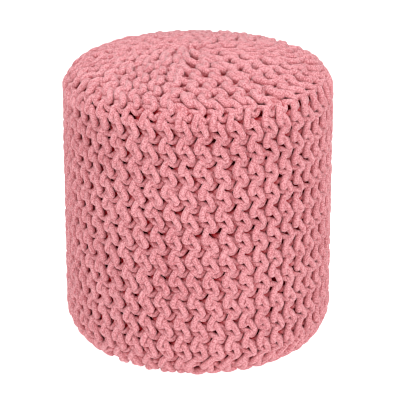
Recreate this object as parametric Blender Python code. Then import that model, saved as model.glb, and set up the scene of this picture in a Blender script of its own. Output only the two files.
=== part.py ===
"""A hand-knitted pouf: a drum-shaped floor cushion of thick cotton cord, filled tight.

The cover is knitted sideways in garter stitch, so its ridges run up the side, over the rim and in to the
gathered centre of the top. It is one filled solid: a turned drum with a crowned top, a round rim and a
rounder foot, with every ridge raised on it. Each wedge of the cover starts with a ridge that runs the
whole way in to the centre. The ridges after it are shorter, and end against the next wedge. Single
stitches are finer than this solid. Metres, +Z up, origin at the middle of the flat base.
"""

import bmesh
import bpy
import numpy as np

# Driving sizes
DIAMETER = 0.380
HEIGHT = 0.431
RIM_RADIUS = 0.034  # rounding of the top edge
FOOT_RADIUS = 0.064  # rounding of the bottom edge
SHOULDER_HEIGHT = 0.374  # where the straight side ends and the rim starts

# Knitting
WEDGES = 8
RIDGES_PER_WEDGE = 6
GROOVE_DEPTH = 0.0075  # from a ridge's crest down to the groove beside it
CREST_SHAPE = 0.7  # power of the half wave: below 1 the ridges are broad and the grooves narrow
FIRST_WEDGE_ANGLE = np.radians(-55.0)  # first leading line, from +X, anticlockwise seen from above
LEAN = 0.05  # sideways run of a ridge down the side, for each metre of drop
LEAN_SWING = 0.03  # how much the lean grows at LEAN_ANGLE, and shrinks opposite
LEAN_ANGLE = np.radians(-130.0)
GATHER_DEPTH = 0.005  # dimple where the top is drawn together
GATHER_RADIUS = 0.016
FLOOR_FADE = 0.030  # height over which the grooves flatten out towards the floor

# Mesh steps
COLUMNS_PER_RIDGE = 4
CROWN_RINGS = 16
RIM_RINGS = 4
SIDE_RINGS = 5
FOOT_RINGS = 6
FIRST_RING_RADIUS = 0.010
MERGE_DISTANCE = 0.00001

CORD_PINK = (0.68, 0.27, 0.29, 1.0)
CORD_ROUGHNESS = 0.95
SHARP_ANGLE = np.radians(60.0)

SIDE_RADIUS = DIAMETER / 2
COLUMNS_PER_WEDGE = RIDGES_PER_WEDGE * COLUMNS_PER_RIDGE
COLUMNS = WEDGES * COLUMNS_PER_WEDGE


def clear_scene():
    """Take every object out of the scene."""
    for thing in list(bpy.data.objects):
        bpy.data.objects.remove(thing, do_unlink=True)


def arc(centre_radius, centre_height, arc_radius, angle):
    """Points and outward normals along an arc of the outline, at angles from straight up."""
    out, up = np.sin(angle), np.cos(angle)
    return np.column_stack([centre_radius + arc_radius * out, centre_height + arc_radius * up, out, up])


def drum_outline():
    """Half outline from the top centre down to the base: columns radius, height, normal out, normal up.

    The top is part of a large sphere. Its radius follows from the sizes: the sphere passes through the
    highest point and touches the rim's arc.
    """
    rim_centre = SIDE_RADIUS - RIM_RADIUS
    rise = HEIGHT - SHOULDER_HEIGHT
    crown_radius = (rise**2 - RIM_RADIUS**2 + rim_centre**2) / (2 * (rise - RIM_RADIUS))
    first_angle = np.arcsin(FIRST_RING_RADIUS / crown_radius)
    rim_start = np.arcsin(rim_centre / (crown_radius - RIM_RADIUS))
    quarter, half = np.pi / 2, np.pi
    crown = arc(0.0, HEIGHT - crown_radius, crown_radius, np.linspace(first_angle, rim_start, CROWN_RINGS))
    rim = arc(rim_centre, SHOULDER_HEIGHT, RIM_RADIUS, np.linspace(rim_start, quarter, RIM_RINGS + 1)[1:])
    side = np.tile([SIDE_RADIUS, SHOULDER_HEIGHT, 1.0, 0.0], (SIDE_RINGS, 1))
    side[:, 1] = np.linspace(SHOULDER_HEIGHT, FOOT_RADIUS, SIDE_RINGS + 1)[1:]
    foot_angle = np.linspace(quarter, half, FOOT_RINGS + 1)[1:]
    foot = arc(SIDE_RADIUS - FOOT_RADIUS, FOOT_RADIUS, FOOT_RADIUS, foot_angle)
    return np.vstack([crown, rim, side, foot])


def ridge_columns(radius):
    """Clockwise angle of each column of the mesh at each radius, and how high it stands on its ridge, 0 to 1.

    The ridges keep their width, so a column keeps its distance along the circle from its wedge's leading
    line while the radius shrinks. Where it meets the next wedge it stays in the groove at that line. Close
    to the centre the first ridge of each wedge fills the wedge, and narrows with it.
    """
    wedge, step = np.divmod(np.arange(COLUMNS), COLUMNS_PER_WEDGE)
    ridge = step / COLUMNS_PER_RIDGE
    ridges_that_fit = np.maximum(RIDGES_PER_WEDGE * radius / SIDE_RADIUS, 1.0)
    across = np.minimum(ridge / ridges_that_fit, 1.0)
    crest = np.where(across < 1.0, np.abs(np.sin(np.pi * ridge)) ** CREST_SHAPE, 0.0)
    return 2 * np.pi / WEDGES * (wedge + across), crest


def groove_depth(crest, radius, height):
    """Depth of the surface inside the outline: the grooves, flat near the floor, and the dimple on top."""
    at_floor = np.clip(height / FLOOR_FADE, 0.0, 1.0)
    gather = GATHER_DEPTH * np.exp(-((radius / GATHER_RADIUS) ** 2))
    return GROOVE_DEPTH * (1 - crest) * at_floor + gather * (height > SHOULDER_HEIGHT)


def lean_angle(angle, height):
    """Angle by which a ridge has run sideways at a height on the side."""
    drop = SHOULDER_HEIGHT - np.clip(height, FOOT_RADIUS, SHOULDER_HEIGHT)
    return (LEAN + LEAN_SWING * np.cos(angle - LEAN_ANGLE)) * drop / SIDE_RADIUS


def pouf_points():
    """Points of the surface, as an array of rings by columns by XYZ."""
    radius, height, out, up = (values[:, None] for values in drum_outline().T)
    clockwise, crest = ridge_columns(radius)
    depth = groove_depth(crest, radius, height)
    angle = FIRST_WEDGE_ANGLE - clockwise
    angle = angle + lean_angle(angle, height)
    ring_radius = radius - out * depth
    return np.stack([ring_radius * np.cos(angle), ring_radius * np.sin(angle), height - up * depth], axis=-1)


def cord_material():
    """Matt cotton cord, dusty pink."""
    material = bpy.data.materials.new("cotton_cord")
    material.use_nodes = True
    shader = material.node_tree.nodes["Principled BSDF"]
    shader.inputs["Base Color"].default_value = CORD_PINK
    shader.inputs["Roughness"].default_value = CORD_ROUGHNESS
    shader.inputs["Metallic"].default_value = 0.0
    return material


def build_pouf():
    """Join the rings into one closed body, with the gathered point on top and a flat base below."""
    body = bmesh.new()
    rings = [[body.verts.new(point) for point in ring] for ring in pouf_points()]
    gather_point = body.verts.new((0.0, 0.0, HEIGHT - GATHER_DEPTH - GROOVE_DEPTH))
    for column in range(COLUMNS):
        beside = (column + 1) % COLUMNS
        body.faces.new((gather_point, rings[0][beside], rings[0][column]))
        for upper, lower in zip(rings[:-1], rings[1:]):
            body.faces.new((upper[column], upper[beside], lower[beside], lower[column]))
    body.faces.new(rings[-1])
    # Columns that have run into the next wedge share its points
    bmesh.ops.remove_doubles(body, verts=body.verts, dist=MERGE_DISTANCE)
    bmesh.ops.recalc_face_normals(body, faces=body.faces)
    mesh = bpy.data.meshes.new("knitted_pouf")
    body.to_mesh(mesh)
    body.free()
    mesh.shade_smooth()
    mesh.set_sharp_from_angle(angle=SHARP_ANGLE)
    mesh.materials.append(cord_material())
    pouf = bpy.data.objects.new("knitted_pouf", mesh)
    bpy.context.scene.collection.objects.link(pouf)


clear_scene()
build_pouf()
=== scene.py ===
import bpy
import numpy as np
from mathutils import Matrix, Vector


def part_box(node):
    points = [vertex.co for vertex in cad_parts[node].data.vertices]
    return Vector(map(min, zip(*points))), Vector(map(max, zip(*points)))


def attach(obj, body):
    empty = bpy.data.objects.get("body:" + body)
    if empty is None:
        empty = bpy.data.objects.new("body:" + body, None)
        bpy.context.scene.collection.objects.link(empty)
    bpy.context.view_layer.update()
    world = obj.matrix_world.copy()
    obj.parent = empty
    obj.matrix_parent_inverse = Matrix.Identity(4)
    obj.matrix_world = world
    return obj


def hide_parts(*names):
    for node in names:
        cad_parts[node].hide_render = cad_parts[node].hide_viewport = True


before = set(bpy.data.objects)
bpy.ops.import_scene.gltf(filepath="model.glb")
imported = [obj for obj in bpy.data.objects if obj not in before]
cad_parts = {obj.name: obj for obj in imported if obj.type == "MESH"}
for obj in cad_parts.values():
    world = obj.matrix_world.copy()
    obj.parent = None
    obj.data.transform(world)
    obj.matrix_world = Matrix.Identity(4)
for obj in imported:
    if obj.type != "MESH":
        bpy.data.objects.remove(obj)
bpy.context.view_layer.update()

# ---- Filled body ---------------------------------------------------------------------------------------
# A drum-shaped bag of plain cotton, filled tight. The knitting is pulled over it, so it shows only between
# the stitches, where its near black red colour is painted shade. It swells a little behind each ridge.

RIM_ROUNDING = 0.034
FOOT_ROUNDING = 0.060
SHOULDER_HEIGHT = 0.376  # where the straight side ends and the rim starts
CROWN_HEIGHT = 0.4325
WEDGES = 8
RIDGES_PER_WEDGE = 6
FIRST_WEDGE_ANGLE = np.radians(-55.0)
LEAN = 0.05  # how the ridges lean down the side
LEAN_SWING = 0.03  # how much more they lean on one face than on the opposite one
LEAN_ANGLE = np.radians(-130.0)
GATHER_PLACE = (-0.006, 0.009)  # the ridges meet a little off the middle of the crown
GATHER_SPREAD = 0.150  # radius at which this drift has died out
BODY_INSET = 0.0170  # how deep the bag lies under the drum's outer surface
BODY_SWELL = 0.0015  # how much it swells behind each ridge
BODY_COLUMNS = 144
BODY_ROWS = 90

low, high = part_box("knitted_pouf")
side_radius = (high[0] - low[0]) / 2
wedge_angle = 2 * np.pi / WEDGES
rim_centre = side_radius - RIM_ROUNDING
crown_rise = CROWN_HEIGHT - SHOULDER_HEIGHT
crown_radius = (crown_rise**2 - RIM_ROUNDING**2 + rim_centre**2) / (2 * (crown_rise - RIM_ROUNDING))


def smooth_step(share):
    """From 0 to 1, level at both ends: three times the square less twice the cube."""
    share = np.clip(share, 0.0, 1.0)
    return share * share * (3 - 2 * share)


def drum_outline(inset):
    """Half outline of the drum, inset metres inside its outer surface, from top centre to base centre.

    The crown is part of a large circle that passes through the highest point and touches the rim's arc.
    Rim and foot are arcs, the side and the base straight lines. Columns: length along the outline, radius,
    height, normal outwards, normal upwards.
    """
    rim_start = np.arcsin(rim_centre / (crown_radius - RIM_ROUNDING))
    quarter, half = np.pi / 2, np.pi
    bends = [  # centre's radius and height, arc's radius, angles from straight up
        (0.0, CROWN_HEIGHT - crown_radius, crown_radius, np.linspace(0.0, rim_start, 60)),
        (rim_centre, SHOULDER_HEIGHT, RIM_ROUNDING, np.linspace(rim_start, quarter, 40)[1:]),
        (side_radius - FOOT_ROUNDING, FOOT_ROUNDING, FOOT_ROUNDING, np.linspace(quarter, half, 60)),
        (0.0, 0.0, 0.0, np.array([half])),
    ]
    rows = [
        np.column_stack([
            out + (bend - inset) * np.sin(turn),
            up + (bend - inset) * np.cos(turn),
            np.sin(turn),
            np.cos(turn),
        ])
        for out, up, bend, turn in bends
    ]
    rows[-1][:, 0] = 0.0
    rows[-1][:, 1] = inset
    outline = np.vstack(rows)
    steps = np.hypot(*np.diff(outline[:, :2], axis=0).T)
    return np.column_stack([np.concatenate([[0.0], np.cumsum(steps)]), outline])


def outline_at(outline, length):
    """Radius, height, normal outwards and normal upwards at a length along the outline."""
    return [np.interp(length, outline[:, 0], outline[:, column]) for column in (1, 2, 3, 4)]


def on_drum(outline, length, clockwise, lift):
    """Point and outward normal at a length along the outline, an angle clockwise from the first wedge's
    leading line, and a lift along the normal.

    Down the side the angle leans with the drop, more on one face than on the opposite one. On the crown
    the point drifts towards the gather, by the square of one less the square of its share of the spread,
    and its height follows the crown's circle.
    """
    radius, height, out, up = outline_at(outline, length)
    angle = FIRST_WEDGE_ANGLE - clockwise
    drop = SHOULDER_HEIGHT - np.clip(height, FOOT_ROUNDING, SHOULDER_HEIGHT)
    angle = angle + (LEAN + LEAN_SWING * np.cos(angle - LEAN_ANGLE)) * drop / side_radius
    drift = np.clip(1 - (radius / GATHER_SPREAD) ** 2, 0, 1) ** 2 * (up > 0)
    flat = np.stack([radius * np.cos(angle), radius * np.sin(angle)], axis=-1)
    moved = flat + drift[..., None] * np.array(GATHER_PLACE)
    height = height + (radius**2 - (moved**2).sum(axis=-1)) / (2 * crown_radius)
    normal = np.stack([out * np.cos(angle), out * np.sin(angle), up], axis=-1)
    return np.concatenate([moved, height[..., None]], axis=-1) + lift[..., None] * normal, normal


def mesh_piece(name, points, faces, maps, material, depth=None):
    """A smooth shaded mesh from arrays of points and of four-sided faces, riding on the one body.

    A face whose last two corners are the same is a triangle. maps holds UV maps by name, with a pair of
    numbers for each corner, and depth has a number for each point: its share of painted shade.
    """
    sides = np.where(faces[:, 2] == faces[:, 3], 3, 4)
    used = np.arange(4)[None, :] < sides[:, None]
    mesh = bpy.data.meshes.new(name)
    mesh.vertices.add(len(points))
    mesh.vertices.foreach_set("co", points.astype(np.float32).ravel())
    mesh.loops.add(int(sides.sum()))
    mesh.loops.foreach_set("vertex_index", faces[used].astype(np.int32))
    mesh.polygons.add(len(faces))
    mesh.polygons.foreach_set("loop_start", np.concatenate([[0], np.cumsum(sides)[:-1]]).astype(np.int32))
    mesh.update(calc_edges=True)
    for map_name, corners in maps.items():
        layer = mesh.uv_layers.new(name=map_name)
        layer.data.foreach_set("uv", corners[used].astype(np.float32).ravel())
    # the depth attribute carries each point's share of painted shade
    if depth is not None:
        mesh.attributes.new("depth", "FLOAT", "POINT").data.foreach_set("value", depth.astype(np.float32))
    mesh.validate()
    mesh.shade_smooth()
    mesh.materials.append(material)
    piece = bpy.data.objects.new(name, mesh)
    bpy.context.scene.collection.objects.link(piece)
    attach(piece, "root")
    return piece


def bag_cotton_as_painted_shade():
    """Plain cotton with a fine weave, coloured a near black red of the cord's pink as painted shade between
    the stitches.
    """
    material = bpy.data.materials.new("bag_cotton_as_painted_shade")
    material.use_nodes = True
    nodes, links = material.node_tree.nodes, material.node_tree.links
    shader = nodes["Principled BSDF"]
    # painted shade: a near black red, so that the bag reads as the dark between the stitches
    shader.inputs["Base Color"].default_value = (0.16, 0.006, 0.012, 1.0)
    shader.inputs["Roughness"].default_value = 0.95
    shader.inputs["Specular IOR Level"].default_value = 0.0
    place = nodes.new("ShaderNodeTexCoord")
    weave = nodes.new("ShaderNodeTexNoise")
    weave.inputs["Scale"].default_value = 700.0
    bump = nodes.new("ShaderNodeBump")
    bump.inputs["Strength"].default_value = 0.3
    bump.inputs["Distance"].default_value = 0.0005
    links.new(place.outputs["Object"], weave.inputs["Vector"])
    links.new(weave.outputs["Fac"], bump.inputs["Height"])
    links.new(bump.outputs["Normal"], shader.inputs["Normal"])
    return material


body_outline = drum_outline(BODY_INSET)
body_length = np.linspace(0.0, body_outline[-1, 0], BODY_ROWS + 1)[1:-1, None]
body_turn = np.arange(BODY_COLUMNS)[None, :] * 2 * np.pi / BODY_COLUMNS
swell = BODY_SWELL * np.cos(WEDGES * RIDGES_PER_WEDGE * body_turn) + 0 * body_length
rings, _ = on_drum(body_outline, body_length + 0 * body_turn, body_turn + 0 * body_length, swell)
ends, _ = on_drum(body_outline, body_outline[[0, -1], 0], np.zeros(2), np.zeros(2))
body_points = np.vstack([rings.reshape(-1, 3), ends])
index = np.arange((BODY_ROWS - 1) * BODY_COLUMNS).reshape(BODY_ROWS - 1, BODY_COLUMNS)
beside = np.roll(index, -1, axis=1)
top, bottom = len(body_points) - 2, len(body_points) - 1
body_faces = np.vstack([
    np.stack([index[:-1], beside[:-1], beside[1:], index[1:]], axis=-1).reshape(-1, 4),
    np.stack([beside[0], index[0], 0 * index[0] + top, 0 * index[0] + top], axis=-1),
    np.stack([index[-1], beside[-1], 0 * index[0] + bottom, 0 * index[0] + bottom], axis=-1),
])
filled_body = mesh_piece("filled_body", body_points, body_faces, {}, bag_cotton_as_painted_shade())
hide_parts("knitted_pouf")

# ---- Knitted cover -------------------------------------------------------------------------------------
# Soft cotton cord, knitted by hand in garter stitch, two rows to a ridge. A row runs from the underside up
# the side and in over the crown. In a wedge of six ridges each one stops short of the one before it, and
# its ends go under the first ridge of the next wedge.

CORD_WIDE = 0.0043  # half the cord's width
CORD_THICK = 0.0046  # half its thickness, out of the fabric
SIDE_STITCH = 0.0319  # along a row, where the cover is stretched down the side
TOP_STITCH = 0.0260  # along a row, where it lies slack on the crown and underneath
LOOP_REACH = 0.0122  # how far a loop reaches sideways
LOOP_LIFT = 0.0062  # how far it stands out before the middle of the fabric
SLACK_LIFT = 0.20  # share by which a slack loop stands out more
SLACK_CORD = 0.25  # share by which a slack cord is plumper
BEHIND_CORD = 0.25  # share by which the cord of a tight loop is plumper behind, where nothing flattens it
BEHIND_DEPTH = 0.007  # fully so from this depth
HEADS = dict(  # loops of a row whose heads are in front; FEET has those of a row whose feet are in front
    crossing=0.0070,  # how far the legs swing past the row's own pace before the fabric
    crossing_behind=-0.0010,  # the same behind it
    neck=0.0030,  # how far the two legs of a loop draw together in the middle of the fabric
    sag=0.0010,  # how far the part in front hangs down
    sag_behind=0.0030,  # the same behind
    slant=0.0040,  # how far the ends of the part in front lean sideways
    depth=0.0056,  # how deep the part behind lies
    fall=1.8,  # how late it goes down: 1 for evenly, more for later
    shift=0.0,  # how far the whole row is pulled up by its neighbour
)
FEET = dict(
    crossing=0.0042,
    crossing_behind=0.0060,
    neck=0.0,
    sag=0.0060,
    sag_behind=0.0,
    slant=0.0030,
    depth=0.0074,
    fall=0.7,
    shift=0.0062,
)
SAG_POWER = 1.5  # above 1 the part in front hangs mostly at its middle
SAG_BEHIND_FROM = 0.7  # share of the way to the front at which the legs start to hang behind
STEPS_PER_STITCH = 24
CORD_SIDES = 10
UNEVEN_ALONG, UNEVEN_ACROSS = 0.0009, 0.0008  # drift of the rows from their places
WAVES = 14
WAVE_SHORTEST, WAVE_LONGEST = 0.030, 0.080
STITCH_SPREAD = 0.07  # share by which one stitch's reach and lift differ from the next one's
STITCH_DRIFT = 0.0007  # how far one stitch slips along its row
TUCK = 0.011  # how deep a row's end goes under the next wedge
TUCK_STITCHES = 0.45  # length of a row's end that is tucked in
OVERRUN = 0.8  # share of a row's width by which it runs on under the next wedge
MEETING_RADIUS = 0.007  # the first two rows of a wedge end at this distance from the centre
SMALLEST_RADIUS = 0.002
SMALLEST_SQUEEZE = 0.05
PAINTED_SHADE_START = 0.0040  # height over the middle of the fabric below which the cord's colour is darkened, as painted shade
PAINTED_SHADE_RANGE = 0.0065  # how much further down the painted shade is darkest

fabric = drum_outline(LOOP_LIFT + CORD_THICK)
fabric_radius = fabric[:, 1].max()
rows_per_wedge = 2 * RIDGES_PER_WEDGE
row_width = wedge_angle * fabric_radius / rows_per_wedge
widest_length = fabric[np.argmax(fabric[:, 1]), 0]
fabric_length = np.linspace(0.0, fabric[-1, 0], 2000)
stretch = smooth_step(outline_at(fabric, fabric_length)[2])
stitch_length = TOP_STITCH + (SIDE_STITCH - TOP_STITCH) * stretch
mean_stitch = (stitch_length[1:] + stitch_length[:-1]) / 2
stitches = np.concatenate([[0.0], np.cumsum(np.diff(fabric_length) / mean_stitch)])
rng = np.random.default_rng(24)
wave_way = rng.normal(size=(3, WAVES))
wave_way *= 2 * np.pi / np.linalg.norm(wave_way, axis=0) / rng.uniform(WAVE_SHORTEST, WAVE_LONGEST, WAVES)
wave_start = rng.uniform(0, 2 * np.pi, (2, WAVES))


def unevenness(place):
    """Smooth unevenness of hand knitting at places on the fabric, along a row and across it: sums of sine
    waves that run through space in random directions."""
    turn = place @ wave_way
    along = np.sin(turn + wave_start[0]).sum(axis=-1) * np.sqrt(2 / WAVES)
    across = np.sin(turn + wave_start[1]).sum(axis=-1) * np.sqrt(2 / WAVES)
    return UNEVEN_ALONG * along, UNEVEN_ACROSS * across


def stitch_by_stitch(stitch, spread):
    """A random number that eases from one half of a stitch to the next."""
    half = 2 * (stitch - stitch[0])
    knots = rng.normal(size=int(half[-1]) + 3) * spread
    before = half.astype(int)
    share = smooth_step(half - before)
    return knots[before] * (1 - share) + knots[before + 1] * share


def loop_shape(stitch, heads_in_front, slack):
    """Offsets of a row's loops from its middle line, against its stitch number: down along the row, across
    it to the right, and out of the fabric.

    A stitch is one turn. Across, the row swings by the cosine of the turn, with its heads on the left and
    its feet on the right. Half of that swing is in front and stands out with the cosine, the other half
    lies behind. Along the row the legs get ahead by the sine of twice the turn, which makes each loop wider
    than its neck, and draw back at the neck by the fifth power of the sine. The parts in front and behind
    hang down, and the ends of the part in front lean sideways by the sine of twice the turn. Where the
    fabric is slack, the leaning, the hanging and the neck die out with the cube of the slack.
    """
    loop = HEADS if heads_in_front else FEET
    turn = 2 * np.pi * stitch
    facing = 1 if heads_in_front else -1
    side = facing * np.cos(turn)
    front, back = np.clip(side, 0.0, 1.0), np.clip(-side, 0.0, 1.0)
    swing = loop["crossing_behind"] + (loop["crossing"] - loop["crossing_behind"]) * (1 + side) / 2
    behind = smooth_step(1 - side / SAG_BEHIND_FROM)
    hang = loop["sag"] * front**SAG_POWER + loop["sag_behind"] * behind - loop["shift"]
    tight = 1 - slack**3
    along = swing * np.sin(2 * turn) + (hang - loop["neck"] * np.sin(turn) ** 5) * tight
    across = -LOOP_REACH * np.cos(turn) - facing * loop["slant"] * np.sin(2 * turn) * front * tight
    lift = (LOOP_LIFT * front - loop["depth"] * back ** loop["fall"]) * (1 + SLACK_LIFT * slack)
    return along, across, lift


def row_path(wedge, row, first, last):
    """Path of one row between two stitch numbers, from the top down, with the normals, the lift and the
    cord's plumpness along it.

    A row keeps its distance along the circle from its wedge's leading line. Near the centre, where a wedge
    has room for its first two rows alone, they share what room there is. A row goes under where the next
    wedge's leading line is less than half a row's width away. The cord is plumper in proportion to the
    slack, and where the fabric is tight, in proportion to its depth behind it.
    """
    stitch = np.linspace(first, last, int((last - first) * STEPS_PER_STITCH))
    held = smooth_step((stitch - first) / TUCK_STITCHES) * smooth_step((last - stitch) / TUCK_STITCHES)
    length = np.interp(stitch, stitches, fabric_length)
    pitch = np.interp(length, fabric_length, stitch_length)
    slack = (SIDE_STITCH - pitch) / (SIDE_STITCH - TOP_STITCH)
    along, across, lift = loop_shape(stitch, row % 2 == 0, slack)
    across = across * (1 + stitch_by_stitch(stitch, STITCH_SPREAD))
    lift = lift * (1 + stitch_by_stitch(stitch, STITCH_SPREAD))
    along = along + stitch_by_stitch(stitch, STITCH_DRIFT)
    radius = outline_at(fabric, length)[0]
    squeeze = np.clip(wedge_angle * radius / (2 * row_width), SMALLEST_SQUEEZE, 1.0)
    distance = (row + 0.5) * row_width * squeeze
    room = wedge_angle * radius - distance
    under = smooth_step(0.5 - room / row_width) * (row > 1)
    middle = wedge * wedge_angle + distance / np.maximum(radius, SMALLEST_RADIUS)
    place, _ = on_drum(fabric, length, middle, 0 * length)
    uneven_along, uneven_across = unevenness(place)
    length = length + along * held * pitch / SIDE_STITCH + uneven_along
    distance = distance - (across * held + uneven_across) * squeeze
    clockwise = wedge * wedge_angle + distance / np.maximum(outline_at(fabric, length)[0], SMALLEST_RADIUS)
    lift = lift * held - TUCK * np.maximum(under, 1 - held)
    path, normal = on_drum(fabric, length, clockwise, lift)
    behind = np.clip(-lift / BEHIND_DEPTH, 0.0, 1.0)
    return path, normal, lift, 1 + SLACK_CORD * slack + BEHIND_CORD * behind * (1 - slack)


def cord_tube(path, normal, plump):
    """A round cord along a path, closed at both ends. Its sides are counted from the fabric's normal.

    Gives its points, its faces, and for each corner of each face the step along the cord and the side.
    """
    tangent = np.gradient(path, axis=0)
    tangent /= np.linalg.norm(tangent, axis=1, keepdims=True)
    sideways = np.cross(tangent, normal)
    sideways /= np.linalg.norm(sideways, axis=1, keepdims=True)
    above = np.cross(sideways, tangent)
    turn = np.arange(CORD_SIDES) * 2 * np.pi / CORD_SIDES
    high, wide = plump[:, None] * CORD_THICK * np.cos(turn), plump[:, None] * CORD_WIDE * np.sin(turn)
    rings = path[:, None] + above[:, None] * high[..., None] + sideways[:, None] * wide[..., None]
    points = np.vstack([rings.reshape(-1, 3), path[:1], path[-1:]])
    last = len(path) - 1
    step, side = np.meshgrid(np.arange(last), np.arange(CORD_SIDES), indexing="ij")
    steps = np.stack([step, step + 1, step + 1, step], axis=-1).reshape(-1, 4)
    sides = np.stack([side, side, side + 1, side + 1], axis=-1).reshape(-1, 4)
    faces = steps * CORD_SIDES + sides % CORD_SIDES
    side = np.arange(CORD_SIDES)
    beside, tips = (side + 1) % CORD_SIDES, np.full(CORD_SIDES, len(points))
    first_cap = np.stack([side, beside, tips - 2, tips - 2], axis=-1)
    last_cap = np.stack([beside + last * CORD_SIDES, side + last * CORD_SIDES, tips - 1, tips - 1], axis=-1)
    cap_sides = np.stack([side, side + 1, side + 0.5, side + 0.5], axis=-1)
    tip_step = -0.4  # a cap's middle is mapped this far before its end, so that the cap has an area
    cap_steps = np.tile([0.0, 0.0, tip_step, tip_step], (CORD_SIDES, 1))
    faces = np.vstack([faces, first_cap, last_cap])
    steps = np.vstack([steps, cap_steps, last - cap_steps])
    sides = np.vstack([sides, cap_sides, cap_sides[:, [1, 0, 2, 3]]])
    return points, faces, steps, sides


def row_end(distance, underneath):
    """Stitch number at which a row at a distance from its leading line meets the next wedge: where the arc
    over the wedge's angle is as long as that distance, on the crown or underneath.
    """
    half = fabric[:, 0] > widest_length
    part = fabric[half] if underneath else fabric[~half]
    order = np.argsort(part[:, 1])
    length = np.interp(distance / wedge_angle, part[order, 1], part[order, 0])
    return np.interp(length, fabric_length, stitches)


CORD_COLUMNS = 10.0  # columns of strands round the cord
STRANDS_PER_TURN = 12.0  # strands in a length of cord as long as the way round it
STRAND_SLANT = 1.1  # how many strands a column slants by, from its edge towards its middle
STRAND_RELIEF, COLUMN_RELIEF, FLUFF_RELIEF = 0.5, 0.6, 2.6  # their shares of the bump
FLUFF_SCALE, MOTTLE_SCALE, DYE_SCALE = 420.0, 260.0, 14.0  # patches in a metre
FLUFF_TONE, MOTTLE_TONE, DYE_TONE, STRAND_GROOVE_SHADE = 0.85, 0.15, 0.12, 0.05  # their shares of the colour's tone; the strands' share is painted shade, darker in their grooves


def cotton_cord():
    """Matt cotton cord in dusty pink, itself a fine knitted tube: slanting strands in columns round it,
    and the fluff of the cotton. The map named cord gives the side and the length along the cord, both in
    turns round it. The strands are a sine along the cord, the columns half a sine across each. The strands'
    grooves are a little darker, as painted shade. The deeper the cord lies, the darker and redder its
    colour is made, as painted shade in the hollows of the knitting.
    """
    material = bpy.data.materials.new("cotton_cord_knitted")
    material.use_nodes = True
    nodes, links = material.node_tree.nodes, material.node_tree.links
    shader = nodes["Principled BSDF"]
    shader.inputs["Roughness"].default_value = 0.95
    shader.inputs["Specular IOR Level"].default_value = 0.05
    shader.inputs["Sheen Weight"].default_value = 0.42
    shader.inputs["Sheen Roughness"].default_value = 0.35
    shader.inputs["Sheen Tint"].default_value = (1.0, 0.90, 0.91, 1.0)

    def number(operation, *values):
        """One step of arithmetic on sockets and plain values."""
        node = nodes.new("ShaderNodeMath")
        node.operation = operation
        for socket, value in zip(node.inputs, values):
            if isinstance(value, (int, float)):
                socket.default_value = value
            else:
                links.new(value, socket)
        return node.outputs[0]

    def noise(scale, detail):
        """Random patches through space, so many in a metre."""
        node = nodes.new("ShaderNodeTexNoise")
        node.inputs["Scale"].default_value = scale
        node.inputs["Detail"].default_value = detail
        node.inputs["Roughness"].default_value = 0.6
        links.new(place, node.inputs["Vector"])
        return node.outputs["Fac"]

    place = nodes.new("ShaderNodeTexCoord").outputs["Object"]
    cord_map = nodes.new("ShaderNodeUVMap")
    cord_map.uv_map = "cord"
    split = nodes.new("ShaderNodeSeparateXYZ")
    links.new(cord_map.outputs["UV"], split.inputs[0])
    column = number("PINGPONG", number("MULTIPLY", split.outputs["X"], CORD_COLUMNS), 0.5)
    along = number("MULTIPLY", split.outputs["Y"], STRANDS_PER_TURN)
    slope = number("ADD", along, number("MULTIPLY", column, STRAND_SLANT))
    strand = number("SINE", number("MULTIPLY", slope, 2 * np.pi))
    groove = number("SINE", number("MULTIPLY", column, np.pi))
    fluff = noise(FLUFF_SCALE, 2.0)
    strands, columns = number("MULTIPLY", strand, STRAND_RELIEF), number("MULTIPLY", groove, COLUMN_RELIEF)
    height = number("ADD", number("ADD", strands, columns), number("MULTIPLY", fluff, FLUFF_RELIEF))
    bump = nodes.new("ShaderNodeBump")
    bump.inputs["Strength"].default_value = 0.55
    bump.inputs["Distance"].default_value = 0.0008
    links.new(height, bump.inputs["Height"])
    links.new(bump.outputs["Normal"], shader.inputs["Normal"])

    dye = number("MULTIPLY", number("SUBTRACT", noise(DYE_SCALE, 1.0), 0.5), DYE_TONE)
    mottle = number("MULTIPLY", noise(MOTTLE_SCALE, 3.0), MOTTLE_TONE)
    tone = number("ADD", number("MULTIPLY", fluff, FLUFF_TONE), mottle)
    # painted shade: the strands' grooves a little darker than their crests
    tone = number("ADD", number("ADD", tone, dye), number("MULTIPLY", strand, STRAND_GROOVE_SHADE))
    shades = nodes.new("ShaderNodeValToRGB")
    shades.color_ramp.elements[0].position = 0.38
    shades.color_ramp.elements[0].color = (0.56, 0.165, 0.185, 1.0)
    shades.color_ramp.elements[1].position = 0.62
    shades.color_ramp.elements[1].color = (0.84, 0.39, 0.415, 1.0)
    links.new(tone, shades.inputs["Fac"])
    # painted shade: the colour is darkened and reddened by the share in the depth attribute, more the
    # deeper the cord lies
    depth = nodes.new("ShaderNodeAttribute")
    depth.attribute_name = "depth"
    deep = nodes.new("ShaderNodeMix")
    deep.data_type = "RGBA"
    deep.blend_type = "MULTIPLY"
    factor, shade, painted_shade_colour = deep.inputs["Factor"], deep.inputs[6], deep.inputs[7]
    links.new(depth.outputs["Fac"], factor)
    links.new(shades.outputs["Color"], shade)
    painted_shade_colour.default_value = (0.70, 0.035, 0.058, 1.0)
    links.new(deep.outputs[2], shader.inputs["Base Color"])
    return material


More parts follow.
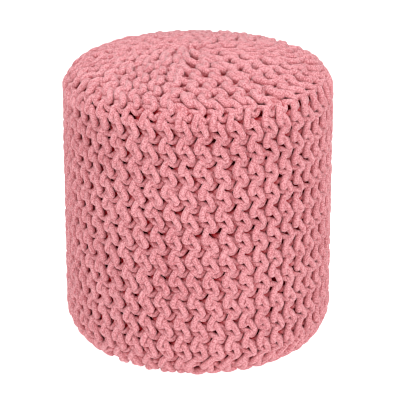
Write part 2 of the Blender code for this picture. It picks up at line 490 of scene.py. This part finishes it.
def cord_maps(path, steps, sides, first_strip):
    """Two maps of a row's cord. One has the side and the length along the cord, both in turns round it. The
    other lays the cord out in strips of equal length, one above the other from first_strip on, with a gap
    between them. Gives both and the number of strips.
    """
    strip_steps, strip_gap, strip_end = 9 * STEPS_PER_STITCH, 0.06, 0.01
    run = np.concatenate([[0.0], np.cumsum(np.linalg.norm(np.diff(path, axis=0), axis=1))])
    turns = np.interp(steps, np.arange(len(run)), run) / (np.pi * (CORD_WIDE + CORD_THICK))
    first_step = np.clip(steps.min(axis=1, keepdims=True), 0, len(run) - 2).astype(int)
    strip = first_step // strip_steps
    share = strip_end + (1 - 2 * strip_end) * (steps / strip_steps - strip)
    place = first_strip + strip + strip_gap + (1 - 2 * strip_gap) * sides / CORD_SIDES
    cord_map = np.stack([sides / CORD_SIDES, turns], axis=-1)
    return cord_map, np.stack([share, place], axis=-1), int(strip.max()) + 1


cord = cotton_cord()
for wedge in range(WEDGES):
    points, faces, cord_corners, strip_corners, painted_shade_shares, count, strips = [], [], [], [], [], 0, 0
    for row in range(rows_per_wedge):
        last_of_ridge = row | 1
        end_distance = (last_of_ridge - OVERRUN) * row_width if row > 1 else MEETING_RADIUS * wedge_angle
        first, last = row_end(end_distance, False), row_end(end_distance, True)
        path, normal, lift, plump = row_path(wedge, row, first, last)
        tube, tube_faces, steps, sides = cord_tube(path, normal, plump)
        rings = tube[:-2].reshape(len(path), CORD_SIDES, 3) - path[:, None]
        above = (rings * normal[:, None]).sum(axis=-1) + lift[:, None]
        above = np.concatenate([above.ravel(), lift[[0, -1]]])
        cord_map, strip_map, used_strips = cord_maps(path, steps, sides, strips)
        points.append(tube)
        faces.append(tube_faces + count)
        # painted shade: each point's share of darkening, from how far its surface lies below the painted
        # shade's start
        painted_shade_shares.append(smooth_step((PAINTED_SHADE_START - above) / PAINTED_SHADE_RANGE))
        cord_corners.append(cord_map)
        strip_corners.append(strip_map)
        count += len(tube)
        strips += used_strips
    points = np.vstack(points)
    points[:, 2] = np.maximum(points[:, 2], 0.0)
    maps = {"OFBake": np.vstack(strip_corners) / [1, strips], "cord": np.vstack(cord_corners)}
    mesh_piece(f"cover_wedge_{wedge + 1}", points, np.vstack(faces), maps, cord, np.concatenate(painted_shade_shares))

# ---- Studio --------------------------------------------------------------------------------------------
# A pale floor that runs out of the picture all round, soft boxes at both sides and above, and a long lens
# that looks down at the pouf.

CAMERA_TILT = np.radians(20.5)
CAMERA_DISTANCE = 3.2
AIM = Vector((0.0029, 0.0, 0.2055))
PHOTO_WIDTH = 400
METRES_PER_PIXEL = 0.0014286  # at the pouf's distance
FLOOR_HALF = 6.0
LIGHTS_AIM = Vector((0.0, 0.0, 0.2))

camera = bpy.data.objects.new("camera", bpy.data.cameras.new("camera"))
bpy.context.scene.collection.objects.link(camera)
away = Vector((0.0, -np.cos(CAMERA_TILT), np.sin(CAMERA_TILT)))
camera.location = AIM + CAMERA_DISTANCE * away
camera.rotation_euler = away.to_track_quat("Z", "Y").to_euler()
camera.data.sensor_width = 36.0
camera.data.lens = camera.data.sensor_width * CAMERA_DISTANCE / (PHOTO_WIDTH * METRES_PER_PIXEL)
camera.data.clip_end = 100.0
bpy.context.scene.camera = camera

floor_mesh = bpy.data.meshes.new("floor")
floor_corners = [(FLOOR_HALF * x, FLOOR_HALF * y, 0.0) for x, y in ((-1, -1), (1, -1), (1, 1), (-1, 1))]
floor_mesh.from_pydata(floor_corners, [], [(0, 1, 2, 3)])
floor_material = bpy.data.materials.new("pale_floor")
floor_material.use_nodes = True
floor_shader = floor_material.node_tree.nodes["Principled BSDF"]
floor_shader.inputs["Base Color"].default_value = (0.45, 0.45, 0.45, 1.0)
floor_shader.inputs["Roughness"].default_value = 0.9
floor_shader.inputs["Emission Color"].default_value = (1.0, 1.0, 1.0, 1.0)
floor_shader.inputs["Emission Strength"].default_value = 0.95
floor_mesh.materials.append(floor_material)
floor = bpy.data.objects.new("floor", floor_mesh)
bpy.context.scene.collection.objects.link(floor)

world = bpy.data.worlds.new("studio")
world.use_nodes = True
world.node_tree.nodes["Background"].inputs["Color"].default_value = (1.0, 1.0, 1.0, 1.0)
world.node_tree.nodes["Background"].inputs["Strength"].default_value = 0.50
bpy.context.scene.world = world


def soft_box(name, place, size, power, colour=(1.0, 1.0, 1.0)):
    """A square soft light, its size in metres and its power in watts, that faces the pouf's middle."""
    light = bpy.data.objects.new(name, bpy.data.lights.new(name, "AREA"))
    light.data.size = size
    light.data.energy = power
    light.data.color = colour
    light.location = place
    light.rotation_euler = (Vector(place) - LIGHTS_AIM).to_track_quat("Z", "Y").to_euler()
    bpy.context.scene.collection.objects.link(light)


soft_box("soft_box_left", (-1.5, -1.6, 1.0), 1.0, 11.0)
soft_box("soft_box_right", (1.6, -1.4, 1.0), 1.0, 15.2)
soft_box("soft_box_above", (0.0, -0.4, 2.0), 1.4, 26.0, (0.90, 1.0, 1.0))  # cool, like daylight
bpy.context.scene.view_settings.view_transform = "Standard"
bpy.context.scene.cycles.filter_width = 1.0  # as crisp as the photograph
